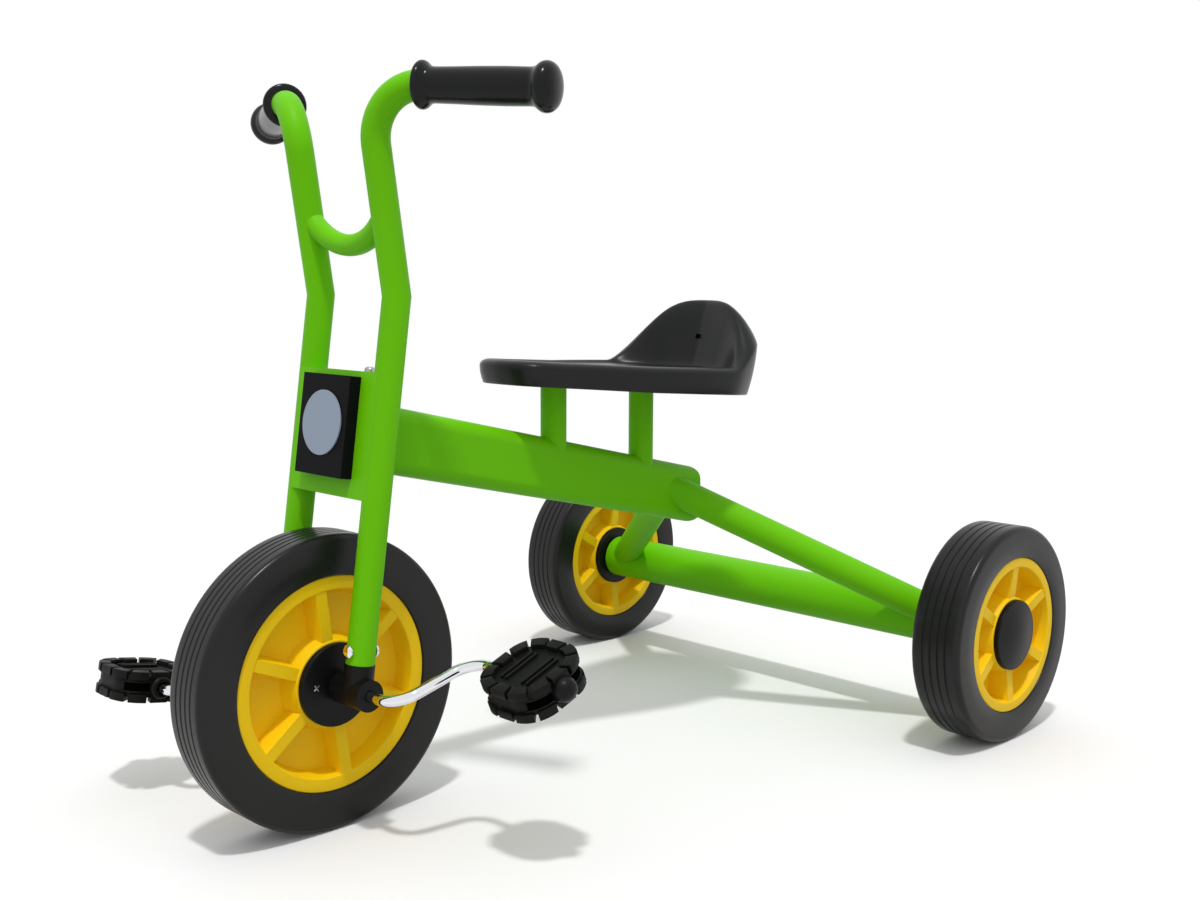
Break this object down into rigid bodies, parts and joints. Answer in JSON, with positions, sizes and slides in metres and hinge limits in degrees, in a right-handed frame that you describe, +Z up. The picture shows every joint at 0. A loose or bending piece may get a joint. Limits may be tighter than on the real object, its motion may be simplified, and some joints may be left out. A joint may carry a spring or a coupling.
{
  "type": "toddler tricycle",
  "caption": "Steel-framed toddler tricycle with a flat-oval beam, raked twin-tube fork, swept handlebar, moulded saddle and a crank driving the front wheel.",
  "frame": {"origin": "on the floor, under the middle of the overall length, on the mirror plane of the frame", "axes": "+Z up, the rider faces -Y, +X is to the rider's left"},
  "size_m": [0.5906, 0.81, 0.5985],
  "materials": {
    "green_paint": "gloss powder coat",
    "tyre_rubber": "satin",
    "yellow_plastic": "satin moulded",
    "black_plastic": "satin moulded",
    "seat_plastic": "satin moulded",
    "grip_rubber": "satin",
    "panel_black": "satin",
    "lens_grey": "plain",
    "chrome": "polished",
    "zinc_steel": "zinc plated",
    "white_nylon": "plain"
  },
  "bodies": {
    "frame": {"main_beam": "green_paint", "head_tube": "green_paint", "rear_axle_tube": "green_paint", "left_stay": "green_paint", "right_stay": "green_paint", "front_seat_post": "green_paint", "rear_seat_post": "green_paint", "seat_mount_plate": "zinc_steel", "seat": "seat_plastic", "rear_axle_rod": "zinc_steel", "left_axle_plug": "black_plastic", "right_axle_plug": "black_plastic", "upper_head_washer": "white_nylon", "lower_head_washer": "white_nylon"},
    "fork": {"left_fork_tube": "green_paint", "right_fork_tube": "green_paint", "handlebar_crossbar": "green_paint", "head_plate": "green_paint", "upper_yoke": "green_paint", "lower_yoke": "green_paint", "steering_pin": "zinc_steel", "steering_nut": "zinc_steel", "lamp_panel": "panel_black", "lamp_lens": "lens_grey", "left_grip": "grip_rubber", "right_grip": "grip_rubber", "left_hub_housing": "black_plastic", "right_hub_housing": "black_plastic", "left_housing_bolt": "chrome", "right_housing_bolt": "chrome"},
    "front_wheel": {"front_tyre": "tyre_rubber", "front_wheel_centre": "yellow_plastic", "left_front_hub_cover": "black_plastic", "right_front_hub_cover": "black_plastic", "crank": "chrome"},
    "left_pedal_body": {"left_pedal": "black_plastic", "left_pedal_end": "black_plastic"},
    "right_pedal_body": {"right_pedal": "black_plastic", "right_pedal_end": "black_plastic"},
    "left_rear_wheel": {"left_rear_tyre": "tyre_rubber", "left_rear_wheel_centre": "yellow_plastic", "left_rear_hub_cap": "black_plastic", "left_rear_inner_cover": "black_plastic"},
    "right_rear_wheel": {"right_rear_tyre": "tyre_rubber", "right_rear_wheel_centre": "yellow_plastic", "right_rear_hub_cap": "black_plastic", "right_rear_inner_cover": "black_plastic"}
  },
  "joints": [
    {"name": "steering", "type": "hinge", "parent": "frame", "child": "fork", "pos_m": [0, -0.23795, 0.31535], "axis": [0, 0.1392, 0.9903], "range_deg": [-45, 45]},
    {"name": "front_wheel_spin", "type": "hinge", "parent": "fork", "child": "front_wheel", "pos_m": [0, -0.285, 0.12], "axis": [1, 0, 0], "continuous": true},
    {"name": "left_pedal_spin", "type": "hinge", "parent": "front_wheel", "child": "left_pedal_body", "pos_m": [0.184, -0.22058, 0.14473], "axis": [1, 0, 0], "continuous": true},
    {"name": "right_pedal_spin", "type": "hinge", "parent": "front_wheel", "child": "right_pedal_body", "pos_m": [-0.174, -0.34942, 0.09527], "axis": [1, 0, 0], "continuous": true},
    {"name": "left_rear_wheel_spin", "type": "hinge", "parent": "frame", "child": "left_rear_wheel", "pos_m": [0.265, 0.301, 0.104], "axis": [1, 0, 0], "continuous": true},
    {"name": "right_rear_wheel_spin", "type": "hinge", "parent": "frame", "child": "right_rear_wheel", "pos_m": [-0.265, 0.301, 0.104], "axis": [1, 0, 0], "continuous": true}
  ]
}
